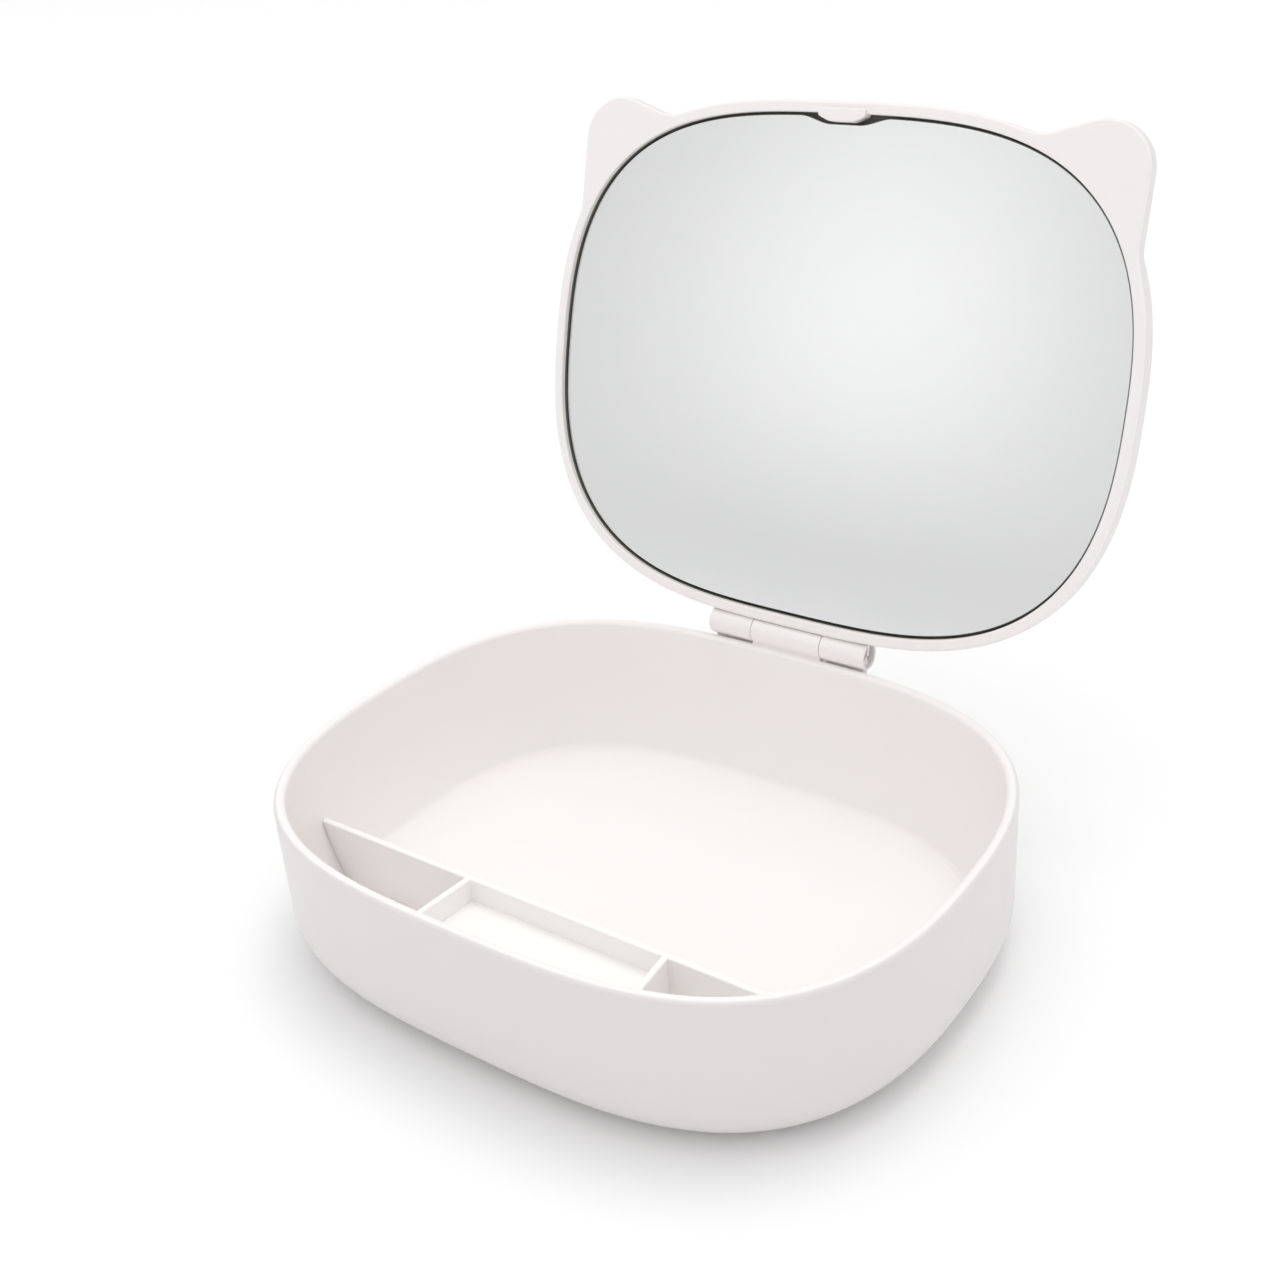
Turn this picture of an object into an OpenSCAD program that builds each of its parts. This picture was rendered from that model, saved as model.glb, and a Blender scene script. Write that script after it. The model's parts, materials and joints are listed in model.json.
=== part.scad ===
// Vanity box with a mirror lid.
// Origin: centre of the underside, on the table. +X to the right, +Y to the hinge, +Z up.
// The lid is drawn closed and then turned open about the hinge, which is its pose at rest.

/* [Box] */
// Length of the box, left to right
box_length = 180; // [150:1:220]
// Depth of the box, front to hinge side
box_depth = 144; // [118:1:176]
// Height of the rim above the table
box_height = 42.2; // [34:0.2:56]
// How square the left and right ends are, 2 being an ellipse
end_squareness = 3.15; // [2.4:0.05:4]
// How square the front and rear are, 2 being an ellipse
side_squareness = 2.55; // [2.2:0.05:4]
// Thickness of the wall
wall_t = 3; // [2:0.1:4]
// Thickness of the floor
floor_t = 2.6; // [1.6:0.1:4]
// Radius of the round lower edge outside
bottom_r = 12; // [6:0.5:18]
// Radius of the slow curve that brings the wall inwards towards the floor, inside
inside_r = 70; // [60:5:80]
// Lean of the wall where that curve meets the floor's fillet
inside_lean = 25; // [10:1:27]
// Radius between the wall and the floor inside
floor_fillet_r = 2; // [1:0.5:4]
// Radius along both edges of the rim
rim_r = 1.3; // [0.6:0.1:1.4]

/* [Base pad] */
// Thickness of the anti-slip pad under the floor
pad_t = 1; // [0.6:0.1:2]
// How far the pad's edge stays inside the flat of the underside
pad_inset = 1.5; // [1:0.5:6]

/* [Organiser] */
// Distance from the front of the box to the middle of the long divider
divider_from_front = 38.5; // [30:0.1:50]
// Height of the dividers' top edge above the table
divider_top = 21; // [16:0.1:30]
// Thickness of the dividers and of the shelf
divider_t = 1.8; // [1.2:0.1:3]
// Distance of each cross divider from the middle, at the long divider
cross_x = 28.8; // [15:0.1:45]
// Angle at which the cross dividers spread towards the front
cross_splay = 5; // [0:1:15]
// Depth of the shallow middle compartment below the dividers' top edge
shelf_drop = 6.4; // [3:0.1:12]
// Clearance between the organiser and the wall
organiser_gap = 0.2; // [0.1:0.05:0.6]

/* [Hinge] */
// Outer radius of the hinge barrel
barrel_r = 3.9; // [3.2:0.1:5]
// Length of the whole barrel
barrel_l = 50; // [36:1:70]
// Length of the middle knuckle, which belongs to the box
middle_knuckle_l = 22; // [12:1:30]
// Gap between neighbouring knuckles
knuckle_gap = 0.35; // [0.2:0.05:0.6]
// Clearance between the lid's knuckles and the box's rim
hinge_gap = 0.5; // [0.35:0.05:0.8]
// Distance of the hinge axis above the rim
hinge_rise = 3.5; // [2.9:0.1:3.9]
// Clearance round the middle knuckle where the lid is cut away
notch_gap = 0.4; // [0.35:0.05:0.6]
// Radius of the hinge pin
pin_r = 1.6; // [1:0.1:2]
// Running clearance of the pin in the lid's knuckles
pin_gap = 0.05; // [0.02:0.01:0.1]
// Wall round the wide mouth at each end of the barrel
mouth_wall = 0.8; // [0.6:0.1:1.2]
// Depth of the wide mouth
mouth_depth = 3; // [1:0.5:6]
// Length of each pin end that shows in the mouth
pin_show = 0.8; // [0:0.1:1]
// Clearance between the stop rib and the rear wall when the lid is open
stop_gap = 0.3; // [0.2:0.05:0.6]
// How far the stop rib reaches below the rim when the lid is open
stop_reach = 3; // [2:0.1:5]
// Thickness of the stop rib
stop_t = 1.6; // [1:0.1:2.4]
// Depth of the bracket that joins the middle knuckle to the rear wall, below the rim
bracket_drop = 9; // [5:0.5:14]
// How far the lid opens
open_angle = 105; // [90:1:115]

/* [Lid] */
// How far the lid's edge lies inside the edge of the box
lid_inset = 1.5; // [1:0.1:2]
// Gap between the closed lid and the rim
lid_gap = 0.3; // [0.2:0.05:0.6]
// Width of the frame's face round the mirror
face_w = 3.1; // [2.6:0.1:4]
// Thickness of the frame's plate behind the mirror
plate_t = 1.2; // [0.8:0.1:2]
// Wall of the lid's outer cover
cover_t = 1.8; // [1.6:0.1:2]
// Clearance between the frame's plate and the cover's wall
cover_gap = 0.15; // [0.1:0.05:0.3]
// Space between the frame's plate and the cover, at the edge of the dome
cover_space = 1.1; // [0.8:0.1:2]
// Radius round the edge of the cover
cover_r = 3.4; // [2.5:0.1:3.5]
// Rise of the cover towards its middle
dome_h = 1.4; // [0:0.1:3]

/* [Ears] */
// Radius of the ear's tip
ear_r = 12; // [8:0.5:15]
// Distance of the ear's outer side inside the end of the lid
ear_side_in = 6; // [4:0.1:12]
// Distance of the ear's top below the lid's front edge
ear_top_in = 1.3; // [0:0.1:5]
// Slope of the ear's inner side
ear_slope = 18.5; // [10:0.5:30]
// Length of the ear's root that runs into the lid
ear_root = 25; // [18:1:30]

/* [Mirror] */
// Thickness of the mirror glass
mirror_t = 1.5; // [1.5:0.1:2]
// Depth of the mirror's face below the frame's face
mirror_sink = 2; // [1:0.1:2.6]
// Gap round the mirror
mirror_gap = 0.6; // [0.5:0.1:2]
// Thickness of the tape behind the mirror
tape_t = 0.4; // [0.2:0.1:0.8]
// Width of each strip of tape
tape_w = 16; // [8:1:24]
// Length of each strip of tape
tape_l = 90; // [50:5:94]
// Distance between the strips of tape
tape_pitch = 50; // [30:1:54]

/* [Lug] */
// Width of the locating lug where it leaves the frame
lug_root_w = 14; // [10:0.5:18]
// Width of the lug's end
lug_end_w = 7; // [4:0.5:9]
// How far the lug reaches in from the frame
lug_reach = 2.2; // [1.5:0.1:3]
// How far the lug stands out of the frame's face
lug_stand = 1; // [0.5:0.1:2]
// Clearance between the lug and the box's wall when closed
lug_gap = 0.3; // [0.2:0.05:0.5]
// Width of the curved notch in the mirror round the lug
glass_notch_w = 28; // [24:0.5:32]

/* [Hidden] */
$fn = 64;

// Points round the plan outline, and steps round each fillet
plan_steps = 72;
fillet_steps = 5;
rim_steps = 3;
wall_steps = 4;

half_l = box_length / 2;
half_d = box_depth / 2;
shell_bottom = pad_t;
floor_top = shell_bottom + floor_t;

// Where the fillet of the tray's floor ends and the slow curve of the wall starts and ends
fillet_top = floor_top + floor_fillet_r * (1 - sin(inside_lean));
curve_top = fillet_top + inside_r * sin(inside_lean);

// Height of the lid's face when closed
lid_z = box_height + lid_gap;

// Hinge axis, just far enough behind the rear wall for the knuckles to clear the round rim
hinge_back = sqrt(pow(barrel_r + hinge_gap + rim_r, 2) - pow(hinge_rise + rim_r, 2)) - rim_r;
axis_y = half_d + hinge_back;
axis_z = box_height + hinge_rise;
mouth_r = barrel_r - mouth_wall;

// Length of each of the lid's two knuckles, and their distance from the middle
outer_knuckle_l = (barrel_l - middle_knuckle_l) / 2 - knuckle_gap;
outer_knuckle_x = (barrel_l - outer_knuckle_l) / 2;

// Depths inside the lid, counted upwards from the frame's face when closed
glass_back = mirror_sink + mirror_t;
frame_t = glass_back + tape_t;
lid_t = frame_t + plate_t + cover_space + cover_t;

// Half of the lid's own length and depth
lid_half_l = half_l - lid_inset;
lid_half_d = half_d - lid_inset;

// Inner edge of the frame's face at the front, and the lug that starts there
face_inner_y = -(lid_half_d - face_w);
lug_outer_y = -(half_d - wall_t - lug_gap);
lug_end_y = face_inner_y + lug_reach;
glass_inset = lid_inset + face_w + mirror_gap;
glass_front_y = -(half_d - glass_inset);

// Gap and depth of the curved notch that the mirror has round the lug
notch_gap_y = mirror_gap * 0.7;
glass_notch = lug_end_y + notch_gap_y - glass_front_y;

white = "#f4f2f0";

function sign_of(v) = v < 0 ? -1 : 1;

// Point of the plan outline at the turn angle t, pushed inwards by d along its normal
function rim_point(t) = [half_l * sign_of(cos(t)) * pow(abs(cos(t)), 2 / end_squareness),
                         half_d * sign_of(sin(t)) * pow(abs(sin(t)), 2 / side_squareness)];
function rim_normal(p) =
    let (gx = end_squareness * sign_of(p.x) * pow(abs(p.x) / half_l, end_squareness - 1) / half_l,
         gy = side_squareness * sign_of(p.y) * pow(abs(p.y) / half_d, side_squareness - 1) / half_d)
    [gx, gy] / norm([gx, gy]);
function inset_point(t, d) = let (p = rim_point(t)) p - d * rim_normal(p);
function outline(d, steps = plan_steps) = [for (i = [0 : steps - 1]) inset_point(360 * i / steps, d)];

// A row is [inset, height, scale]: one ring of points round the outline
function row(d, z, s = 1) = [d, z, s];
function ring(r) = [for (p = outline(r[0])) [p.x * r[2], p.y * r[2], r[1]]];

// Quarter round from the angle a to the angle b, about a centre at inset d and height z
function round_rows(d, z, r, a, b, steps) =
    [for (i = [0 : steps]) let (t = a + (b - a) * i / steps) row(d - r * cos(t), z + r * sin(t))];

// Closed solid through a list of rows, with a flat cap on the first and on the last one
module skin(rows) {
    n = plan_steps;
    last = len(rows) - 1;
    points = [for (r = rows) each ring(r)];
    bands = [for (k = [0 : last - 1]) for (i = [0 : n - 1])
        let (a = k * n + i, b = k * n + (i + 1) % n) each [[a, a + n, b], [b, a + n, b + n]]];
    first_cap = [for (i = [0 : n - 1]) i];
    last_cap = [for (i = [0 : n - 1]) last * n + n - 1 - i];
    polyhedron(points, concat([first_cap], bands, [last_cap]));
}

// Inset of the wall's inner face at the height z
function wall_inset(z) =
    wall_t + inside_r - sqrt(pow(inside_r, 2) - pow(max(0, curve_top - z), 2));

// Rows of the space inside the box, drawn in by the clearance c, from the floor up to the height top
function cavity_rows(c, top) = concat(
    round_rows(wall_inset(fillet_top) + c + floor_fillet_r * cos(inside_lean), floor_top + floor_fillet_r,
               floor_fillet_r, -90, -inside_lean, rim_steps),
    [for (k = [1 : wall_steps]) let (z = fillet_top + (top - fillet_top) * k / wall_steps)
        row(wall_inset(z) + c, z)]);

module along_x(length, r, x = 0) {
    translate([x - length / 2, 0, 0]) rotate([0, 90, 0]) cylinder(h = length, r = r);
}

// Extrudes an outline drawn in the Y-Z plane along X, centred on x
module profile_x(points, length, x = 0) {
    translate([x - length / 2, 0, 0]) rotate([90, 0, 90]) linear_extrude(length) polygon(points);
}

// Places things drawn round the hinge axis as they lie when the lid is closed
module at_hinge() {
    translate([0, axis_y, axis_z]) children();
}

// Turns the closed lid open
module opened() {
    at_hinge() rotate([-open_angle, 0, 0]) translate([0, -axis_y, -axis_z]) children();
}

module box_shell() {
    outer = round_rows(bottom_r, shell_bottom + bottom_r, bottom_r, -90, 0, fillet_steps);
    rim_outer = round_rows(rim_r, box_height - rim_r, rim_r, 0, 90, rim_steps);
    rim_inner = round_rows(wall_t - rim_r, box_height - rim_r, rim_r, 90, 180, rim_steps);
    cavity = cavity_rows(0, box_height - rim_r);
    inner = [for (k = [len(cavity) - 2 : -1 : 0]) cavity[k]];
    bracket = [[-hinge_back - wall_t / 2, -hinge_rise - bracket_drop],
               [-hinge_back - wall_t / 2, -hinge_rise - rim_r],
               [-hinge_back - rim_r / 2, -hinge_rise],
               [-barrel_r * 0.56, -barrel_r * 0.6],
               [0, 0],
               [barrel_r * 0.7, -barrel_r * 0.6],
               [-hinge_back, -hinge_rise - bracket_drop]];
    color(white) difference() {
        union() {
            skin(concat(outer, rim_outer, rim_inner, inner));
            at_hinge() along_x(middle_knuckle_l, barrel_r);
            at_hinge() profile_x(bracket, middle_knuckle_l);
        }
        at_hinge() along_x(middle_knuckle_l + 2, pin_r);
    }
}

module organiser_insert() {
    long_y = -half_d + divider_from_front;
    shelf_top = divider_top - shelf_drop;
    color(white) intersection() {
        skin(cavity_rows(organiser_gap, divider_top));
        union() {
            translate([-half_l, long_y - divider_t / 2, 0]) cube([box_length, divider_t, divider_top]);
            for (side = [-1, 1])
                translate([side * (cross_x + divider_t / 2), long_y, 0]) rotate([0, 0, side * cross_splay])
                    translate([-divider_t / 2, -half_d, 0]) cube([divider_t, half_d, divider_top]);
            translate([0, 0, shelf_top - divider_t]) linear_extrude(divider_t)
                polygon([[-cross_x - divider_t / 2, long_y], [cross_x + divider_t / 2, long_y],
                         [cross_x + divider_t / 2 + half_d * tan(cross_splay), long_y - half_d],
                         [-cross_x - divider_t / 2 - half_d * tan(cross_splay), long_y - half_d]]);
        }
    }
}

module base_pad() {
    color("#8f8d8b") linear_extrude(pad_t) polygon(outline(bottom_r + pad_inset));
}

module hinge_pin() {
    pin_l = barrel_l - 2 * (mouth_depth - pin_show);
    color("#b9bbbd") at_hinge() along_x(pin_l, pin_r);
}

// Outline of one ear, with side = -1 for the left ear and 1 for the right one
module ear_outline(side) {
    cx = lid_half_l - ear_side_in - ear_r;
    cy = lid_half_d - ear_top_in - ear_r;
    arc_steps = 16;
    arc_end = 90 + ear_slope;
    tip = [for (i = [0 : arc_steps])
        let (t = arc_end * i / arc_steps) [cx + ear_r * cos(t), cy + ear_r * sin(t)]];
    root = [[cx + ear_r * cos(arc_end) - ear_r * 1.5 * cos(ear_slope),
             cy + ear_r * sin(arc_end) - ear_r * 1.5 * sin(ear_slope)],
            [cx - ear_r * 1.5, cy - ear_root], [cx + ear_r, cy - ear_root]];
    polygon([for (p = concat(tip, root)) [side * p.x, -p.y]]);
}

module lug_outline(outer_y) {
    polygon([[-lug_root_w / 2, outer_y], [-lug_root_w / 2, face_inner_y + lug_reach * 0.35],
             [-lug_end_w / 2, lug_end_y], [lug_end_w / 2, lug_end_y],
             [lug_root_w / 2, face_inner_y + lug_reach * 0.35], [lug_root_w / 2, outer_y]]);
}

// Rib on each lid knuckle that meets the rear wall when the lid is open. It starts inside the barrel
// and ends a little short of the knuckle's ends.
module stop_rib(x) {
    face_y = -hinge_back + stop_gap;
    end_z = -hinge_rise - stop_reach;
    end_margin = 1;
    rib = [[face_y, -barrel_r * 0.4], [face_y, end_z], [face_y + stop_t, end_z],
           [barrel_r * 0.3, -barrel_r * 0.7], [0, 0]];
    at_hinge() rotate([open_angle, 0, 0]) profile_x(rib, outer_knuckle_l - 2 * end_margin, x);
}

// Web that joins each lid knuckle to the frame, however far behind the frame the axis lies
module knuckle_web(x) {
    frame_y = -hinge_back - lid_inset - face_w / 2;
    low = -barrel_r * 0.15;
    high = lid_z + frame_t - axis_z - 0.3;
    end_margin = 0.5;
    web = [[frame_y, low], [0, low], [0, high], [frame_y, high]];
    at_hinge() profile_x(web, outer_knuckle_l - 2 * end_margin, x);
}

module lid_frame() {
    color(white) opened() difference() {
        union() {
            difference() {
                translate([0, 0, lid_z]) linear_extrude(frame_t) difference() {
                    union() {
                        polygon(outline(lid_inset));
                        for (side = [-1, 1]) ear_outline(side);
                    }
                    polygon(outline(lid_inset + face_w));
                }
                at_hinge() along_x(middle_knuckle_l + 2 * knuckle_gap, barrel_r + notch_gap);
            }
            translate([0, 0, lid_z + frame_t]) linear_extrude(plate_t)
                polygon(outline(lid_inset + cover_t + cover_gap));
            translate([0, 0, lid_z]) linear_extrude(mirror_sink) lug_outline(face_inner_y - face_w / 4);
            translate([0, 0, lid_z - lug_stand]) linear_extrude(lug_stand + 0.1) lug_outline(lug_outer_y);
            for (x = [-outer_knuckle_x, outer_knuckle_x]) {
                at_hinge() along_x(outer_knuckle_l, barrel_r, x);
                knuckle_web(x);
                stop_rib(x);
            }
        }
        for (x = [-outer_knuckle_x, outer_knuckle_x])
            at_hinge() along_x(outer_knuckle_l + 2 * knuckle_gap, pin_r + pin_gap, x);
        for (x = [-1, 1])
            at_hinge() along_x(2 * mouth_depth, mouth_r, x * barrel_l / 2);
    }
}

module lid_cover() {
    dome_steps = 3;
    middle_scale = 0.3;
    dome_d = lid_inset + cover_r;
    edge_z = lid_z + lid_t - cover_r;
    top_z = lid_z + lid_t;
    // The dome, as rows from the middle (k = 0) to the edge (k = dome_steps)
    function dome_row(k, z) =
        let (s = middle_scale + (1 - middle_scale) * k / dome_steps) row(dome_d, z + dome_h * (1 - s * s), s);
    outside = concat([for (k = [0 : dome_steps - 1]) dome_row(k, top_z)],
                     round_rows(dome_d, edge_z, cover_r, 90, 0, fillet_steps),
                     [row(lid_inset, lid_z + frame_t)]);
    inside = concat([row(lid_inset + cover_t, lid_z + frame_t)],
                    round_rows(dome_d, edge_z, cover_r - cover_t, 0, 90, fillet_steps),
                    [for (k = [dome_steps - 1 : -1 : 0]) dome_row(k, top_z - cover_t)]);
    color(white) opened() difference() {
        skin(concat(outside, inside));
        at_hinge() along_x(barrel_l + 2 * knuckle_gap, barrel_r + notch_gap);
    }
}

module mirror_glass() {
    notch_steps = 24;
    half_w = glass_notch_w / 2;
    flat_w = lug_end_w / 2 + notch_gap_y;
    outside_y = -box_depth;
    curve = [for (i = [-notch_steps : notch_steps])
        let (x = half_w * i / notch_steps, u = max(0, (abs(x) - flat_w) / (half_w - flat_w)))
        [x, glass_front_y + glass_notch * (1 + cos(180 * u)) / 2]];
    color("#d8dcdc") opened() translate([0, 0, lid_z + mirror_sink]) linear_extrude(mirror_t) difference() {
        polygon(outline(glass_inset, 2 * plan_steps));
        polygon(concat([[-half_w, outside_y]], curve, [[half_w, outside_y]]));
    }
}

module mirror_tape(x) {
    color("#7d7a62") opened() translate([x - tape_w / 2, -tape_l / 2, lid_z + glass_back])
        cube([tape_w, tape_l, tape_t]);
}

box_shell();
organiser_insert();
base_pad();
hinge_pin();
lid_frame();
lid_cover();
mirror_glass();
mirror_tape(-tape_pitch);  // mirror_tape_left
mirror_tape(0);  // mirror_tape_centre
mirror_tape(tape_pitch);  // mirror_tape_right
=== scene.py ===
"""Looks of a white moulded vanity box with an organiser insert and a hinged mirror lid.

Each sub-assembly is a class with its own sizes in millimetres. The lid's pieces are drawn closed, as they
are moulded and assembled, and are then turned open about the hinge, which is how the part rests.
"""

from __future__ import annotations

import json
import logging
import math
from abc import ABC, abstractmethod
from dataclasses import dataclass
from enum import Enum
from functools import cached_property
from typing import Iterator, Mapping, Sequence

import bmesh
import bpy
from mathutils import Matrix, Vector
from mathutils.geometry import tessellate_polygon

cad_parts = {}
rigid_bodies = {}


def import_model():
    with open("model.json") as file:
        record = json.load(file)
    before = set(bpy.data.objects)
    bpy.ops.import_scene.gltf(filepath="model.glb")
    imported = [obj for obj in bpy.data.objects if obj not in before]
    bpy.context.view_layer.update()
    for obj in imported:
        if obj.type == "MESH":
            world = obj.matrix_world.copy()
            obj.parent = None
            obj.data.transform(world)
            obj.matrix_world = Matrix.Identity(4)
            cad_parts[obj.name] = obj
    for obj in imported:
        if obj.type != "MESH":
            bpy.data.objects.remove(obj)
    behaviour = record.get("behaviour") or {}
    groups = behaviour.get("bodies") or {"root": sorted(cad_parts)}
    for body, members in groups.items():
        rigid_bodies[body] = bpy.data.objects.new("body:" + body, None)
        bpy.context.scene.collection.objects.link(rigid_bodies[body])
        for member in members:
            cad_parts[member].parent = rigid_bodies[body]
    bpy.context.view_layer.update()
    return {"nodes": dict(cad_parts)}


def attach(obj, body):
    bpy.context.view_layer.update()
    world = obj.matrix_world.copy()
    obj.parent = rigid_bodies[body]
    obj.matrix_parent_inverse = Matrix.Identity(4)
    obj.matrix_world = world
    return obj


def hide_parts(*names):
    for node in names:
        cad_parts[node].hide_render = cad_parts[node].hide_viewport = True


LOG = logging.getLogger("vanity_box")
MM = 0.001
MERGE_DISTANCE = 1e-7

Loop = list[Vector]
Pair = tuple[float, float]
Socket = bpy.types.NodeSocket


class Body(Enum):
    """The two bodies that the hinge joins."""

    BOX = "box"
    LID = "lid"


class Grain(Enum):
    """How a moulded face was finished in the tool.

    Each value holds the least and the most roughness, the size of the relief in millimetres and its
    strength. A polished cavity leaves orange peel about 1.4 mm across. A spark-eroded core leaves pits of
    0.05 mm, which are drawn at 0.4 mm.
    """

    POLISHED = (0.30, 0.40, 1.4, 0.14)
    SATIN = (0.42, 0.52, 0.4, 0.22)


# ---------------------------------------------------------------- finishes


def linear(colour: str) -> tuple[float, float, float, float]:
    """Turns an sRGB hex colour into linear values.

    Args:
        colour: Six hex digits after a hash sign.

    Returns:
        Linear red, green, blue and an alpha of one.
    """
    parts = [int(colour[i : i + 2], 16) / 255 for i in (1, 3, 5)]
    red, green, blue = (p / 12.92 if p <= 0.04045 else ((p + 0.055) / 1.055) ** 2.4 for p in parts)
    return red, green, blue, 1.0


def add_node(
    tree: bpy.types.NodeTree,
    kind: str,
    settings: Mapping[str, object] | None = None,
    inputs: Mapping[str | int, object] | None = None,
) -> bpy.types.Node:
    """Adds one shader node with its settings and links.

    Args:
        tree: The node tree of the material.
        kind: Blender's identifier of the node.
        settings: Values set on the node itself.
        inputs: For each socket a value, or the output that feeds it.

    Returns:
        The new node.
    """
    node = tree.nodes.new(kind)
    for name, value in (settings or {}).items():
        setattr(node, name, value)
    for key, value in (inputs or {}).items():
        if isinstance(value, Socket):
            tree.links.new(value, node.inputs[key])
        else:
            node.inputs[key].default_value = value
    return node


@dataclass(frozen=True)
class Graph:
    """The nodes of one material.

    Attributes:
        tree: The material's node tree.
        shader: Its Principled shader.
        place: Position on the piece, in metres.
        facing: Direction in which the face looks, in the piece's own axes.
    """

    tree: bpy.types.NodeTree
    shader: bpy.types.Node
    place: Socket
    facing: Socket

    def noise(self, pattern_mm: float, detail: float = 2.0, roughness: float = 0.5,
              place: Socket | None = None) -> Socket:
        """Cloudy pattern that repeats about every pattern_mm, at the piece's place or at another."""
        return add_node(self.tree, "ShaderNodeTexNoise", inputs={
            "Vector": self.place if place is None else place, "Scale": 1.0 / (pattern_mm * MM),
            "Detail": detail, "Roughness": roughness}).outputs["Fac"]

    def vector(self, operation: str, *inputs: object, result: str = "Vector") -> Socket:
        """Result of one vector operation."""
        return add_node(self.tree, "ShaderNodeVectorMath", {"operation": operation},
                        dict(enumerate(inputs))).outputs[result]

    def off_axis(self) -> Socket:
        """The part of the place that lies across the upright axis."""
        return self.vector("MULTIPLY", self.place, (1, 1, 0))

    def blend(self, share: Socket, first: Socket | str, second: Socket | str) -> Socket:
        """Mix of two colours, each an sRGB hex colour or the output that gives it."""
        ends = [linear(end) if isinstance(end, str) else end for end in (first, second)]
        return add_node(self.tree, "ShaderNodeMix", {"data_type": "RGBA"}, {
            0: share, 6: ends[0], 7: ends[1]}).outputs[2]

    def ranged(self, value: Socket, low: float = 0.0, high: float = 1.0, start: float = 0.0,
               end: float = 1.0, soft: bool = False) -> Socket:
        """Value carried from start and end to low and high, with soft ends if soft."""
        kind = "SMOOTHSTEP" if soft else "LINEAR"
        return add_node(self.tree, "ShaderNodeMapRange", {"interpolation_type": kind}, {
            "Value": value, "From Min": start, "From Max": end, "To Min": low, "To Max": high,
        }).outputs["Result"]

    def surface(self, tone: Socket, gloss: Socket | None = None, height: Socket | None = None,
                strength: float = 0.0, depth_mm: float = 0.0) -> None:
        """Feeds the shader.

        Args:
            tone: Base colour.
            gloss: Roughness, unless it is one value.
            height: Height of the fine relief, if there is any.
            strength: How strongly the relief shows.
            depth_mm: Depth of the relief.
        """
        self.tree.links.new(tone, self.shader.inputs["Base Color"])
        if gloss is not None:
            self.tree.links.new(gloss, self.shader.inputs["Roughness"])
        if height is not None:
            bump = add_node(self.tree, "ShaderNodeBump", inputs={
                "Strength": strength, "Distance": depth_mm * MM, "Height": height})
            self.tree.links.new(bump.outputs["Normal"], self.shader.inputs["Normal"])


@dataclass(frozen=True)
class Finish(ABC):
    """A finish that becomes one procedural material."""

    name: str

    def material(self) -> bpy.types.Material:
        """Makes the material, with a Principled shader and the finish's own nodes."""
        made = bpy.data.materials.new(self.name)
        made.use_nodes = True
        tree = made.node_tree
        tree.nodes.clear()
        spot = add_node(tree, "ShaderNodeTexCoord")
        shader = add_node(tree, "ShaderNodeBsdfPrincipled")
        add_node(tree, "ShaderNodeOutputMaterial", inputs={"Surface": shader.outputs["BSDF"]})
        self.dress(Graph(tree, shader, spot.outputs["Object"], spot.outputs["Normal"]))
        return made

    @abstractmethod
    def dress(self, graph: Graph) -> None:
        """Adds the finish's own nodes to the material's."""


@dataclass(frozen=True)
class MouldedWhite(Finish):
    """White ABS, injection moulded.

    The resin is a warm opaque white. The melt front leaves clouds too faint to name but enough to keep a
    broad wall from looking painted, and the tool's surface gives the gloss and a fine relief. The outside
    faces are painted a shade greyer than the rest: painted shade for the weaker light that they get.

    Attributes:
        grain: The tool's surface.
        resin: Colour of the resin.
        cloud: Colour of its clouds.
        skin: Colour of the painted shade on the outside faces.
        front: Where a lid's inside looks, or None for a piece that stands round the upright axis.
        cloud_mm: Size of the clouds.
    """

    grain: Grain = Grain.POLISHED
    resin: str = "#fbf7f6"
    cloud: str = "#f8f4f3"
    skin: str = "#e4e0df"
    front: tuple[float, float, float] | None = None
    cloud_mm: float = 38.0

    def dress(self, graph: Graph) -> None:
        """Adds clouds, painted shade on the outside faces, gloss and the tool's relief."""
        least, most, relief_mm, strength = self.grain.value
        resin = graph.blend(graph.noise(self.cloud_mm, 3.0, 0.55), self.resin, self.cloud)
        gloss = graph.ranged(graph.noise(6.0), least, most, 0.3, 0.7)
        # Painted shade: the outside faces are mixed towards the greyer skin colour.
        graph.surface(graph.blend(self.outside(graph), resin, self.skin), gloss,
                      graph.noise(relief_mm), strength, 0.03)
        graph.shader.inputs["IOR"].default_value = 1.53
        graph.shader.inputs["Specular IOR Level"].default_value = 0.5

    def outside(self, graph: Graph) -> Socket:
        """How far a face gets the painted shade of the outside, from zero to one.

        A lid's inside looks along front, and a box's outside looks away from the upright axis.
        """
        if self.front:
            way, start, end = self.front, 0.75, 0.25
        else:
            way, start, end = graph.vector("NORMALIZE", graph.off_axis()), 0.1, 0.6
        along = graph.vector("DOT_PRODUCT", graph.facing, way, result="Value")
        return graph.ranged(along, start=start, end=end, soft=True)


@dataclass(frozen=True)
class SilveredGlass(Finish):
    """Float glass silvered on the back.

    The silver sends nearly everything back. The eye sees no surface of its own, only the room, broken by
    the least haze of handling.
    """

    silver: str = "#e7e7e7"
    haze: str = "#e4e5e5"

    def dress(self, graph: Graph) -> None:
        """Adds the silver and its haze."""
        wipe = graph.noise(26.0, 4.0, 0.6)
        graph.surface(graph.blend(wipe, self.silver, self.haze), graph.ranged(wipe, 0.012, 0.03, 0.35, 0.7))
        graph.shader.inputs["Metallic"].default_value = 1.0


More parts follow.
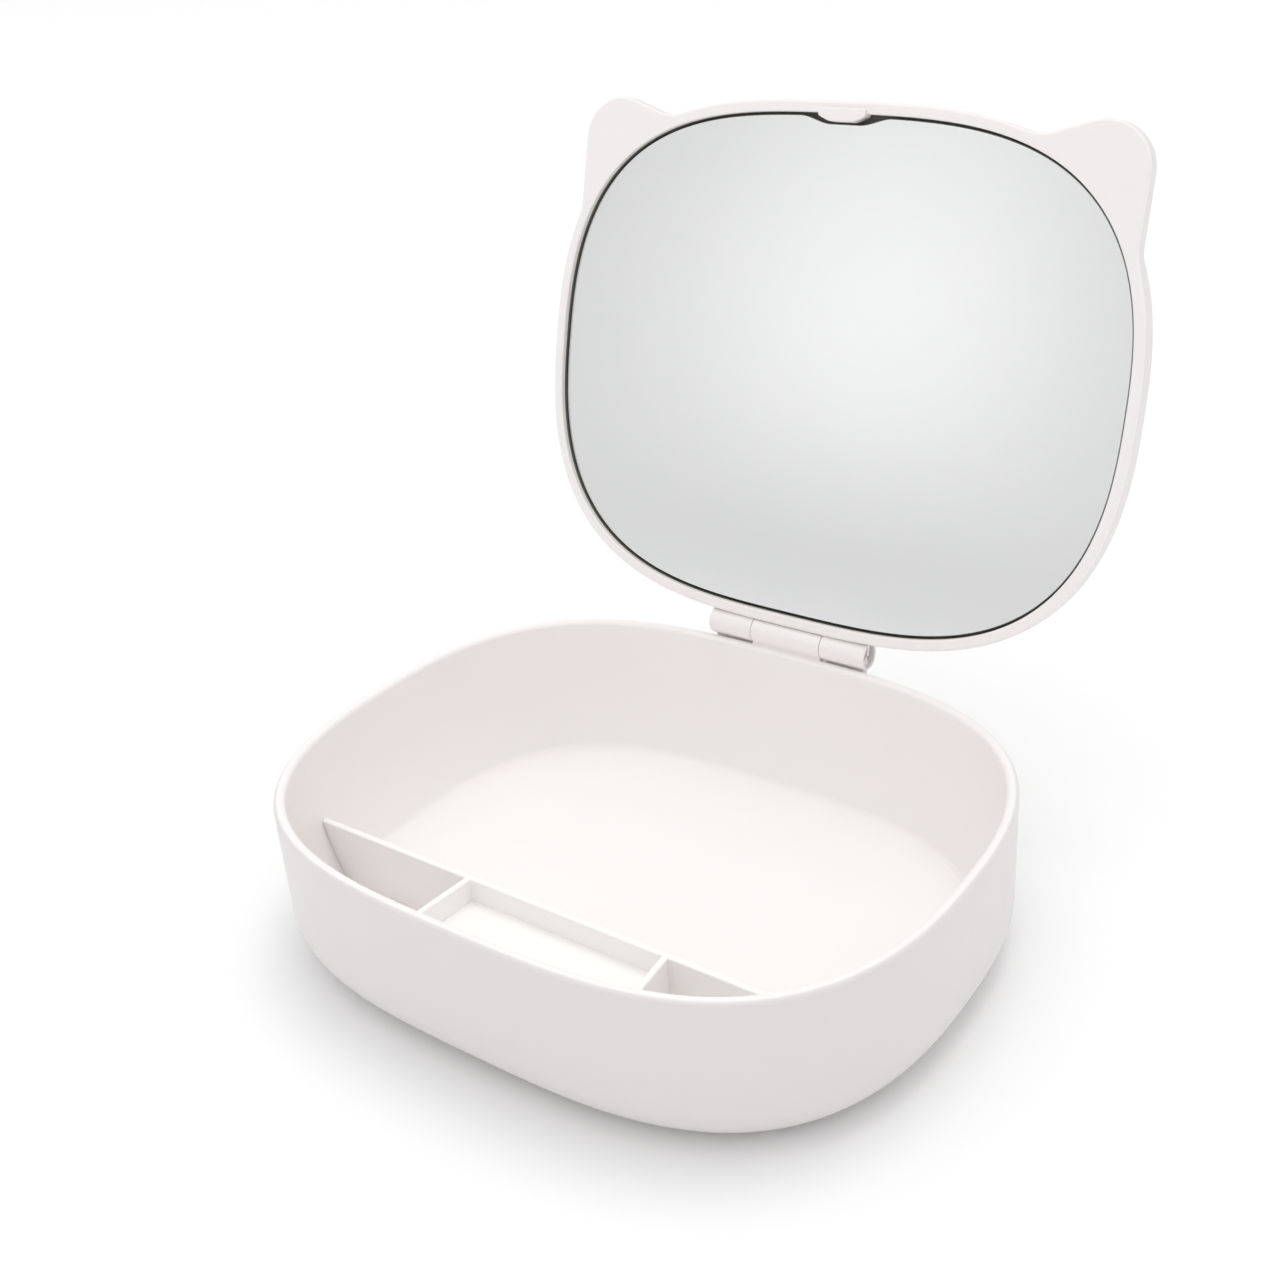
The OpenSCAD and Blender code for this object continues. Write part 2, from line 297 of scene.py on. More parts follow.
@dataclass(frozen=True)
class GroundGlass(Finish):
    """The mirror's cut edge, ground on a wheel.

    Grinding leaves a matt grey-green band with fine marks along the edge, darker than the face because
    the light that enters it is lost inside the glass. The marks are 0.1 mm apart and are drawn at 0.5 mm.
    """

    body: str = "#7f8a86"
    chip: str = "#a9b1ae"
    marks_mm: float = 0.5

    def dress(self, graph: Graph) -> None:
        """Adds the ground band."""
        marks = graph.noise(self.marks_mm, 3.0, 0.7)
        graph.surface(graph.blend(marks, self.body, self.chip), graph.ranged(marks, 0.3, 0.55),
                      marks, 0.4, 0.04)
        graph.shader.inputs["IOR"].default_value = 1.52


@dataclass(frozen=True)
class PaintedGapShade(Finish):
    """Matt painted shade on the floor and lower wall of the mirror's recess.

    It is a dark khaki grey that stands in for the shade in the gap, so the mirror reads as floating behind
    a shadow line. It is a little uneven in patches.
    """

    gap_shade: str = "#6a6860"
    paler_gap_shade: str = "#78756b"
    patch_mm: float = 3.0

    def dress(self, graph: Graph) -> None:
        """Adds the painted shade's uneven patches."""
        cover = graph.noise(self.patch_mm, 4.0, 0.6)
        graph.surface(graph.blend(cover, self.gap_shade, self.paler_gap_shade), graph.ranged(cover, 0.6, 0.8))
        graph.shader.inputs["IOR"].default_value = 1.5


@dataclass(frozen=True)
class DrawnSteel(Finish):
    """Drawn carbon steel wire, cut to length.

    Drawing leaves a bright grey skin with faint marks along the wire, here along X, and the cut ends are a
    little duller. It shows only as a small grey disc inside each mouth of the barrel.
    """

    steel: str = "#b9babb"
    shade: str = "#9d9fa1"
    mark_mm: float = 0.15
    stretch: float = 80.0

    def dress(self, graph: Graph) -> None:
        """Adds the drawing marks."""
        along = add_node(graph.tree, "ShaderNodeMapping", inputs={
            "Vector": graph.place, "Scale": (1 / self.stretch, 1.0, 1.0)})
        marks = graph.noise(self.mark_mm, 3.0, 0.6, along.outputs["Vector"])
        graph.surface(graph.blend(marks, self.steel, self.shade), graph.ranged(marks, 0.24, 0.42),
                      marks, 0.3, 0.01)
        graph.shader.inputs["Metallic"].default_value = 1.0


@dataclass(frozen=True)
class ClosedCellFoam(Finish):
    """EVA or acrylic foam, skived from a block.

    Cutting opens the cells, so the face is dead matt with a fine pitted grain and no highlight. The pits
    are darkened with painted shade.
    """

    foam: str = "#b8b4b0"
    pit_shade: str = "#98948f"
    cell_mm: float = 0.6

    def dress(self, graph: Graph) -> None:
        """Adds the open cells, with painted shade in their pits."""
        cells = add_node(graph.tree, "ShaderNodeTexVoronoi", {"feature": "F1"}, {
            "Vector": graph.place, "Scale": 1.0 / (self.cell_mm * MM), "Randomness": 1.0})
        drift = graph.noise(9.0, 3.0)
        # Painted shade: the colour darkens towards each cell's pit.
        depth = add_node(graph.tree, "ShaderNodeMath", {"operation": "MULTIPLY"}, {
            0: cells.outputs["Distance"], 1: drift})
        graph.surface(graph.blend(depth.outputs["Value"], self.pit_shade, self.foam),
                      graph.ranged(drift, 0.8, 0.95), cells.outputs["Distance"], 0.5, 0.08)
        graph.shader.inputs["IOR"].default_value = 1.48


@dataclass(frozen=True)
class StudioPaper(Finish):
    """Matt background paper, white in the middle, with painted shade that greys it far out.

    The painted shade stands in for weaker light far away; it keeps the horizon soft and gives the mirror
    something calmer than white to reflect.
    """

    paper: str = "#fbfbfb"
    fibre: str = "#f9f9f9"
    far: str = "#ebebeb"
    white_to: float = 4.0
    grey_from: float = 6.0

    def dress(self, graph: Graph) -> None:
        """Adds the paper's slight cloudiness and the painted shade far out."""
        paper = graph.blend(graph.noise(220.0), self.paper, self.fibre)
        away = graph.vector("LENGTH", graph.off_axis(), result="Value")
        # Painted shade: the paper greys between white_to and grey_from away from the middle.
        far_painted_shade = graph.ranged(away, start=self.white_to, end=self.grey_from, soft=True)
        graph.surface(graph.blend(far_painted_shade, paper, self.far))
        graph.shader.inputs["Roughness"].default_value = 0.9
        graph.shader.inputs["Specular IOR Level"].default_value = 0.1


class Finishes:
    """The finishes of the whole object, made once.

    Attributes:
        lid_front: Direction that the mirror's side of the open lid faces.
    """

    lid_front: tuple[float, float, float] = (0.0, -0.9659, 0.2588)

    def __init__(self) -> None:
        """Makes every material."""
        # Each moulding's skin colour is painted shade on its outside faces; the lid's is on the faces that
        # do not look along lid_front.
        self.box = MouldedWhite("abs_moulded_box").material()
        self.organiser = MouldedWhite(
            "abs_moulded_organiser", Grain.SATIN, "#fdfbf8", "#fbf9f6", "#fbf9f6").material()
        self.lid = MouldedWhite(
            "abs_moulded_lid", Grain.POLISHED, "#faf6f5", "#f7f3f2", "#eae6e5", self.lid_front).material()
        # The recess round the mirror gets painted shade.
        self.recess = PaintedGapShade("painted_shade_gap").material()
        self.silver = SilveredGlass("glass_silvered").material()
        self.glass_edge = GroundGlass("glass_ground_edge").material()
        self.steel = DrawnSteel("steel_drawn").material()
        self.pad = ClosedCellFoam("eva_skived").material()
        self.tape = ClosedCellFoam("foam_tape_khaki", "#8d8870", "#6f6a55", 0.5).material()
        self.paper = StudioPaper("paper_white").material()


# ---------------------------------------------------------------- drawing meshes


class Draft:
    """Points and faces in millimetres, which become one object in metres."""

    def __init__(self) -> None:
        """Starts empty."""
        self.points: list[Vector] = []
        self.faces: list[list[int]] = []
        self.finish_of: list[int] = []
        self.finish = 0

    def ring(self, loop: Sequence[Vector]) -> list[int]:
        """Adds the points of a loop and gives their numbers."""
        start = len(self.points)
        self.points.extend(Vector(p) for p in loop)
        return list(range(start, len(self.points)))

    def face(self, corners: Sequence[int]) -> None:
        """Adds one face in the current finish."""
        self.faces.append(list(corners))
        self.finish_of.append(self.finish)

    def bridge(self, first: Sequence[int], second: Sequence[int]) -> None:
        """Joins two closed rings of the same length with quads."""
        count = len(first)
        for i in range(count):
            j = (i + 1) % count
            self.face([first[i], first[j], second[j], second[i]])

    def skin(self, loops: Sequence[Sequence[Vector]], wrap: bool = False) -> list[list[int]]:
        """Joins closed loops one after another.

        Args:
            loops: Loops of one length, in order.
            wrap: Whether the last loop is joined to the first.

        Returns:
            The point numbers of each loop.
        """
        rings = [self.ring(loop) for loop in loops]
        for first, second in zip(rings, rings[1:] + (rings[:1] if wrap else [])):
            self.bridge(first, second)
        return rings

    def fill(self, outer: Sequence[int], hole: Sequence[int] = ()) -> None:
        """Fills a flat region, with an optional hole, with triangles."""
        loops = [[self.points[i] for i in outer]] + ([[self.points[i] for i in hole]] if hole else [])
        numbers = list(outer) + list(hole)
        for triangle in tessellate_polygon(loops):
            self.face([numbers[i] for i in triangle])

    def solid(self, loops: Sequence[Sequence[Vector]]) -> None:
        """Joins closed loops one after another and fills the first and the last."""
        rings = self.skin(loops)
        self.fill(rings[0])
        self.fill(rings[-1])

    def make(self, name: str, finishes: Sequence[bpy.types.Material], crease_deg: float = 38.0,
             cutter: bpy.types.Object | None = None) -> bpy.types.Object:
        """Turns the draft into an object.

        Args:
            name: Name of the piece.
            finishes: Material for each finish number used.
            crease_deg: Edges sharper than this stay crisp.
            cutter: A closed object whose space is cut away.

        Returns:
            The object, in metres.
        """
        mesh = bpy.data.meshes.new(name)
        mesh.from_pydata([p * MM for p in self.points], [], self.faces)
        for finish in finishes:
            mesh.materials.append(finish)
        mesh.polygons.foreach_set("material_index", self.finish_of)
        work = bmesh.new()
        work.from_mesh(mesh)
        bmesh.ops.remove_doubles(work, verts=work.verts, dist=MERGE_DISTANCE)
        bmesh.ops.recalc_face_normals(work, faces=work.faces)
        work.to_mesh(mesh)
        work.free()
        piece = bpy.data.objects.new(name, mesh)
        bpy.context.scene.collection.objects.link(piece)
        if cutter:
            cut = piece.modifiers.new("cut", "BOOLEAN")
            cut.operation, cut.solver, cut.object = "DIFFERENCE", "EXACT", cutter
            bpy.context.view_layer.update()
            solid = piece.evaluated_get(bpy.context.evaluated_depsgraph_get())
            piece.modifiers.clear()
            piece.data = bpy.data.meshes.new_from_object(solid)
            piece.data.name = name
        piece.data.shade_smooth()
        piece.data.set_sharp_from_angle(angle=math.radians(crease_deg))
        even = piece.modifiers.new("even_shading", "WEIGHTED_NORMAL")
        even.mode, even.weight, even.keep_sharp = "FACE_AREA", 50, True
        return piece


def arc(centre: Pair, radius: float, start: float, end: float, steps: int) -> list[Pair]:
    """Points of an arc in a plane.

    Args:
        centre: Centre of the arc.
        radius: Its radius.
        start: First angle in degrees.
        end: Last angle in degrees.
        steps: Number of chords.

    Returns:
        The points, both ends among them.
    """
    turns = [math.radians(start + (end - start) * i / steps) for i in range(steps + 1)]
    return [(centre[0] + radius * math.cos(t), centre[1] + radius * math.sin(t)) for t in turns]


def circle(radius: float, steps: int) -> list[Pair]:
    """Points of a full circle about zero."""
    turns = [2 * math.pi * i / steps for i in range(steps)]
    return [(radius * math.cos(t), radius * math.sin(t)) for t in turns]


def area(loop: Sequence[Vector]) -> float:
    """Signed area of a flat loop, positive when it runs anticlockwise."""
    return sum(a.x * b.y - b.x * a.y for a, b in zip(loop, list(loop[1:]) + [loop[0]])) / 2


def distances(points: Sequence[Vector]) -> list[float]:
    """Distance along a chain of points from its start to each of them."""
    run = [0.0]
    for a, b in zip(points, points[1:]):
        run.append(run[-1] + (b - a).length)
    return run


def even_steps(run: Sequence[float], count: int) -> Iterator[tuple[int, float]]:
    """Finds where even steps along a chain fall.

    Args:
        run: Distance along the chain to each of its points.
        count: Number of steps.

    Yields:
        The number of a chord and the share of it that is passed.
    """
    at = 0
    for k in range(count):
        target = run[-1] * k / count
        while run[at + 1] < target:
            at += 1
        yield at, (target - run[at]) / max(run[at + 1] - run[at], 1e-9)


def respaced(loop: Sequence[Vector], spacing: float) -> Loop:
    """Closed loop with its points set evenly, about spacing apart."""
    closed = list(loop) + [loop[0]]
    run = distances(closed)
    return [closed[at].lerp(closed[at + 1], share)
            for at, share in even_steps(run, max(8, round(run[-1] / spacing)))]


def eased(loop: Sequence[Vector], corners: Sequence[tuple[Vector, float]], rounds: int) -> Loop:
    """Closed loop softened round some corners.

    Args:
        loop: Evenly spaced points.
        corners: Each corner with the distance over which it is softened.
        rounds: How many times each point moves towards its neighbours' middle.

    Returns:
        The softened loop.
    """
    made = [p.copy() for p in loop]
    pull = [max((max(0.0, 1 - (p - c).length / r) for c, r in corners), default=0.0) for p in made]
    count = len(made)
    for _ in range(rounds):
        made = [p.lerp((made[i - 1] + made[(i + 1) % count]) / 2, min(1.0, 2 * pull[i]))
                for i, p in enumerate(made)]
    return made


def drawn_in(loop: Sequence[Vector], inset: float) -> Loop:
    """Anticlockwise flat loop moved inwards by inset along its normals."""
    count = len(loop)
    made = []
    for i, p in enumerate(loop):
        along = (loop[(i + 1) % count] - loop[i - 1]).normalized()
        made.append(Vector((p.x - along.y * inset, p.y + along.x * inset)))
    return made


def rounded_polygon(corners: Sequence[Pair], radius: float, steps: int = 5) -> Loop:
    """Polygon whose corners are softened with short curves."""
    points = [Vector(c) for c in corners]
    made: Loop = []
    for i, corner in enumerate(points):
        before, after = points[i - 1], points[(i + 1) % len(points)]
        a = corner.lerp(before, min(0.45, radius / (before - corner).length))
        b = corner.lerp(after, min(0.45, radius / (after - corner).length))
        for k in range(steps + 1):
            t = k / steps
            made.append(a * (1 - t) ** 2 + corner * (2 * t * (1 - t)) + b * t**2)
    return made


@dataclass(frozen=True)
class Plan:
    """Plan outline of the box, between an ellipse and a rectangle.

    Attributes:
        half_length: Half of the length along X.
        half_depth: Half of the depth along Y.
        end_squareness: Power that squares the ends.
        side_squareness: Power that squares the front and rear.
        points: Number of points round the outline, a multiple of four.
    """

    half_length: float = 90.0
    half_depth: float = 72.0
    end_squareness: float = 3.15
    side_squareness: float = 2.55
    points: int = 384

    def at(self, turn: float) -> Vector:
        """Point of the outline at a turn angle in radians."""
        c, s = math.cos(turn), math.sin(turn)
        return Vector((
            math.copysign(self.half_length * abs(c) ** (2 / self.end_squareness), c),
            math.copysign(self.half_depth * abs(s) ** (2 / self.side_squareness), s)))

    def outward(self, p: Vector) -> Vector:
        """Outward normal of the outline at one of its points."""
        n, m, a, b = self.end_squareness, self.side_squareness, self.half_length, self.half_depth
        return Vector((
            math.copysign(n * (abs(p.x) / a) ** (n - 1) / a, p.x),
            math.copysign(m * (abs(p.y) / b) ** (m - 1) / b, p.y))).normalized()

    @cached_property
    def track(self) -> list[tuple[Vector, Vector]]:
        """Evenly spaced points with their outward normals, the four extreme points among them."""
        fine, made = 1500, []
        for quarter in range(4):
            turns = [math.radians(90 * (quarter + i / fine)) for i in range(fine + 1)]
            run = distances([self.at(t) for t in turns])
            for at, share in even_steps(run, self.points // 4):
                p = self.at(turns[at] + share * (turns[at + 1] - turns[at]))
                made.append((p, self.outward(p)))
        return made

    def loop(self, inset: float) -> Loop:
        """The outline drawn in by inset, anticlockwise, as flat points."""
        return [p - n * inset for p, n in self.track]

    def level(self, inset: float, height: float, scale: float = 1.0) -> Loop:
        """The outline drawn in by inset, then scaled, at one height."""
        return [Vector((p.x * scale, p.y * scale, height)) for p in self.loop(inset)]

    def reach(self, start: Vector, way: Vector, inset: float) -> float:
        """Distance from a point inside to the inset outline.

        Args:
            start: The point, in plan.
            way: Unit direction, in plan.
            inset: How far the outline is drawn in.

        Returns:
            The distance along the direction.
        """
        loop = self.loop(inset)
        side = Vector((-way.y, way.x))
        for a, b in zip(loop, loop[1:] + loop[:1]):
            da, db = (a - start).dot(side), (b - start).dot(side)
            if da * db <= 0 and da != db:
                hit = a.lerp(b, da / (da - db))
                if (hit - start).dot(way) > 0:
                    return (hit - start).dot(way)
        raise ValueError("the point lies outside the outline")


PLAN = Plan()


def bar(draft: Draft, profile: Sequence[Vector], start: float, end: float, edge: float,
        centre: Pair) -> None:
    """Adds a bar along X with softened ends.

    Args:
        draft: Where it is drawn.
        profile: Its flat outline in Y and Z, anticlockwise, about the centre.
        start: First end along X.
        end: Last end along X.
        edge: Radius along the edges of both ends.
        centre: Y and Z of the profile's zero.
    """
    rows = [(x - start, inset) for inset, x in arc((edge, start + edge), edge, 180, 270, 4)][::-1]
    insets = [(start + x, inset) for x, inset in rows] + [(end - x, inset) for x, inset in rows[::-1]]
    draft.solid([[Vector((x, centre[0] + p.x, centre[1] + p.y)) for p in drawn_in(profile, inset)]
                 for x, inset in insets])


def turned(draft: Draft, profile: Sequence[Pair], centre: Pair, steps: int = 96) -> None:
    """Adds a body turned about an axis along X.

    Args:
        draft: Where it is drawn.
        profile: Closed outline of the wall as position along X and radius.
        centre: Y and Z of the axis.
        steps: Facets round the axis.
    """
    draft.skin([[Vector((x, centre[0] + u, centre[1] + v)) for u, v in circle(radius, steps)]
                for x, radius in profile], wrap=True)


# ---------------------------------------------------------------- sub-assemblies


@dataclass(frozen=True)
class Hinge:
    """Sizes that the box and the lid share at the hinge, in millimetres."""

    axis_y: float = 73.7741
    axis_z: float = 45.7
    barrel_radius: float = 3.9
    barrel_length: float = 50.0
    middle_length: float = 22.0
    knuckle_gap: float = 0.15
    notch_gap: float = 0.4
    pin_radius: float = 1.6
    bore_gap: float = 0.05
    pin_show: float = 0.8
    mouth_radius: float = 3.1
    mouth_depth: float = 3.0
    edge: float = 0.14
    open_deg: float = 105.0

    @property
    def axis(self) -> Pair:
        """Y and Z of the hinge axis."""
        return self.axis_y, self.axis_z

    @property
    def outer_start(self) -> float:
        """Where each outer knuckle begins along X."""
        return self.middle_length / 2 + self.knuckle_gap

    def opened(self, p: Vector) -> Vector:
        """A point of the closed lid, turned to where the open lid has it."""
        turn = math.radians(-self.open_deg)
        y, z = p.y - self.axis_y, p.z - self.axis_z
        return Vector((
            p.x,
            self.axis_y + y * math.cos(turn) - z * math.sin(turn),
            self.axis_z + y * math.sin(turn) + z * math.cos(turn)))

    def relieved(self, draft: Draft, name: str, finishes: Sequence[bpy.types.Material],
                 half_width: float) -> bpy.types.Object:
        """Makes a piece of the lid with the space round the barrel cut away.

        Args:
            draft: The piece as drawn.
            name: Name of the piece.
            finishes: Material for each finish number used.
            half_width: How far the space reaches to each side.

        Returns:
            The piece.
        """
        space = Draft()
        space.solid([[Vector((x, self.axis_y + u, self.axis_z + v))
                      for u, v in circle(self.barrel_radius + self.notch_gap, 128)]
                     for x in (-half_width, half_width)])
        cutter = space.make("relief_cutter", [])
        piece = draft.make(name, finishes, cutter=cutter)
        bpy.data.objects.remove(cutter)
        return piece


HINGE = Hinge()


class SubAssembly(ABC):
    """A group of pieces that move together."""

    body: Body

    @abstractmethod
    def build(self) -> None:
        """Builds, dresses and attaches every piece."""

    def settle(self, piece: bpy.types.Object, node: str, slot: str) -> None:
        """Attaches a piece to its body in place of a CAD node.

        Args:
            piece: The finished piece.
            node: The CAD node that it stands for.
            slot: The record's material slot. Not used.
        """
        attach(piece, self.body.value)
        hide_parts(node)
        LOG.info("%s stands for %s, %d faces", piece.name, node, len(piece.data.polygons))


@dataclass
class Box(SubAssembly):
    """The moulded box with its middle knuckle, the foot pad and the hinge pin.

    A flat face begins with a ring as wide as flat_ring, so that its shading stays flat.
    """

    body = Body.BOX
    finishes: Finishes
    height: float = 42.2
    wall: float = 3.0
    floor: float = 2.6
    pad: float = 1.0
    pad_inset: float = 1.5
    bottom_radius: float = 12.0
    inside_radius: float = 70.0
    inside_lean_deg: float = 25.0
    floor_fillet: float = 2.0
    rim_radius: float = 1.3
    bracket_drop: float = 9.0
    bracket_fillet: float = 0.5
    bracket_toe: float = 0.6
    bracket_proud: float = 0.15
    bracket_sag: float = 0.35
    flat_ring: float = 6.0
    pad_ring: float = 4.0
    pad_edge: float = 0.3
    pin_chamfer: float = 0.25
    pin_core: float = 0.02

    @property
    def floor_top(self) -> float:
        """Height of the tray's floor."""
        return self.pad + self.floor

    @property
    def fillet_top(self) -> float:
        """Height at which the floor's fillet meets the wall."""
        return self.floor_top + self.floor_fillet * (1 - math.sin(math.radians(self.inside_lean_deg)))

    def wall_inset(self, height: float) -> float:
        """Inset of the wall's inner face, which curves slowly inwards towards the floor."""
        curve_top = self.fillet_top + self.inside_radius * math.sin(math.radians(self.inside_lean_deg))
        below = max(0.0, curve_top - height)
        return self.wall + self.inside_radius - math.sqrt(self.inside_radius**2 - below**2)

    @property
    def foot(self) -> float:
        """Inset at which the floor's fillet runs out."""
        lean = math.radians(self.inside_lean_deg)
        return self.wall_inset(self.fillet_top) + self.floor_fillet * math.cos(lean)

    def wall_rows(self) -> list[Pair]:
        """Inset and height of each row, from the underside up the outside and down the inside."""
        base, rim, fillet = self.bottom_radius, self.rim_radius, self.floor_fillet
        top = self.height - rim
        rows = [(base + self.flat_ring, self.pad)] + arc((base, self.pad + base), base, 270, 180, 28)
        rows += arc((rim, top), rim, 180, 90, 10) + arc((self.wall - rim, top), rim, 90, 0, 10)
        heights = [top + (self.fillet_top - top) * k / 16 for k in range(1, 17)]
        rows += [(self.wall_inset(z), z) for z in heights]
        rows += arc((self.foot, self.floor_top + fillet), fillet, 180 + self.inside_lean_deg, 270, 8)[1:]
        return rows + [(self.foot + self.flat_ring, self.floor_top)]

    def bracket_profile(self) -> Loop:
        """Outline of the bracket that carries the middle knuckle, about the hinge axis."""
        r = HINGE.barrel_radius
        wall_y = PLAN.half_depth - HINGE.axis_y
        rim_v = self.height - HINGE.axis_z
        foot_v = rim_v - self.bracket_drop
        f = self.bracket_fillet
        centre_v = rim_v + f
        centre_u = -math.sqrt((r + f) ** 2 - centre_v**2)
        meet = math.degrees(math.atan2(centre_v, centre_u)) % 360
        barrel = arc((0.0, 0.0), r, -40, meet, 60)
        fillet = arc((centre_u, centre_v), f, meet - 180, -90, 6)
        inside = wall_y - self.wall / 2
        foot = [(inside, foot_v), (wall_y, foot_v - self.bracket_toe),
                (wall_y + self.bracket_proud, foot_v)]
        low, high, back = Vector(foot[-1]), Vector(barrel[0]), Vector((-self.bracket_sag, 0.0))
        sag = [low.lerp(high, t / 8) + back * math.sin(math.pi * t / 8) for t in range(1, 8)]
        buried = [(centre_u, rim_v - 2.0), (inside, rim_v - 3.0)]
        return [Vector(p) for p in foot] + sag + [Vector(p) for p in barrel + fillet + buried]

    def shell(self) -> bpy.types.Object:
        """The box itself, one moulding with the bracket and the middle knuckle."""
        draft = Draft()
        draft.solid([PLAN.level(i, z) for i, z in self.wall_rows()])
        half = HINGE.middle_length / 2
        bar(draft, self.bracket_profile(), -half, half, HINGE.edge, HINGE.axis)
        return draft.make("box_moulding", [self.finishes.box])

    def foot_pad(self) -> bpy.types.Object:
        """The anti-slip pad under the floor."""
        inset, edge = self.bottom_radius + self.pad_inset, self.pad_edge
        flat = inset + self.pad_ring
        rows = [(flat, 0.0)] + arc((inset + edge, edge), edge, 270, 180, 4)
        rows += [(inset, self.pad), (flat, self.pad)]
        draft = Draft()
        draft.solid([PLAN.level(i, z) for i, z in rows])
        return draft.make("foot_pad", [self.finishes.pad])

    def pin(self) -> bpy.types.Object:
        """The hinge pin, with a small chamfer at each cut end."""
        half = HINGE.barrel_length / 2 - HINGE.mouth_depth + HINGE.pin_show
        r, c, core = HINGE.pin_radius, self.pin_chamfer, self.pin_core
        draft = Draft()
        turned(draft, [(-half, core), (-half, r - c), (-half + c, r), (half - c, r), (half, r - c),
                       (half, core)], HINGE.axis, 64)
        return draft.make("hinge_rod", [self.finishes.steel], crease_deg=30)

    def build(self) -> None:
        """Builds the box, its pad and its pin."""
        self.settle(self.shell(), "box_shell", "box_white")
        self.settle(self.foot_pad(), "base_pad", "pad_grey")
        self.settle(self.pin(), "hinge_pin", "pin_steel")


@dataclass
class Organiser(SubAssembly):
    """The insert of one long divider, two cross dividers and a raised shelf between them."""

    body = Body.BOX
    finishes: Finishes
    box: Box
    thickness: float = 1.8
    top: float = 21.0
    shelf_drop: float = 6.4
    from_front: float = 38.5
    cross_x: float = 28.8
    splay_deg: float = 5.0
    gap: float = 0.1
    edge: float = 0.45
    cross_below: float = 0.02

    def edge_inset(self, height: float) -> float:
        """How far the insert's edge lies inside the box's outline at a height."""
        box, r = self.box, self.box.floor_fillet
        if height >= box.fillet_top:
            return box.wall_inset(height) + self.gap
        below = box.floor_top + r - height
        return box.foot + self.gap - math.sqrt(max(0.0, r**2 - below**2))

    def upright(self, draft: Draft, foot: Vector, way: Vector, top: float, two_ended: bool) -> None:
        """Adds one divider that ends against the wall.

        Args:
            draft: Where it is drawn.
            foot: A point of its middle plane, in plan.
            way: Unit direction along it, in plan.
            top: Height of its lip.
            two_ended: Whether both ends meet the wall. If not, it starts at the foot.
        """
        side = Vector((-way.y, way.x))
        low = self.box.floor_top
        half, r = self.thickness / 2, self.edge
        lip = [(half - r + c, r - s) for c, s in arc((0.0, 0.0), r, 0, 90, 6)]
        across = [(-s, drop) for s, drop in lip] + [(s, drop) for s, drop in lip[::-1]]
        loops = []
        for offset, drop in across:
            start = foot + side * offset
            heights = [low + (top - drop - low) * (k / 14) ** 1.5 for k in range(15)]
            far = [(PLAN.reach(start, way, self.edge_inset(z)), z) for z in heights]
            near = [(-PLAN.reach(start, -way, self.edge_inset(z)) if two_ended else 0.0, z)
                    for z in heights[::-1]]
            loops.append([Vector((*(start + way * a), z)) for a, z in far + near])
        draft.solid(loops)

    def shelf(self, draft: Draft) -> None:
        """Adds the raised floor of the middle compartment."""
        top = self.top - self.shelf_drop
        back = -PLAN.half_depth + self.from_front
        half = self.cross_x + self.thickness / 2
        slope = math.tan(math.radians(self.splay_deg))
        front = [p for p in PLAN.loop(self.edge_inset(top))
                 if p.y < 0 and abs(p.x) < half + slope * (back - p.y)]
        loop = [Vector((-half, back)), *sorted(front, key=lambda p: p.x), Vector((half, back))]
        draft.solid([[Vector((*p, z)) for p in loop] for z in (top - self.thickness, top)])

    def build(self) -> None:
        """Builds the insert."""
        draft = Draft()
        back = -PLAN.half_depth + self.from_front
        self.upright(draft, Vector((0.0, back)), Vector((1.0, 0.0)), self.top, two_ended=True)
        for side in (-1, 1):
            turn = math.radians(self.splay_deg)
            foot = Vector((side * (self.cross_x + self.thickness / 2), back))
            way = Vector((side * math.sin(turn), -math.cos(turn)))
            self.upright(draft, foot, way, self.top - self.cross_below, two_ended=False)
        self.shelf(draft)
        piece = draft.make("organiser_moulding", [self.finishes.organiser])
        self.settle(piece, "organiser_insert", "organiser_white")


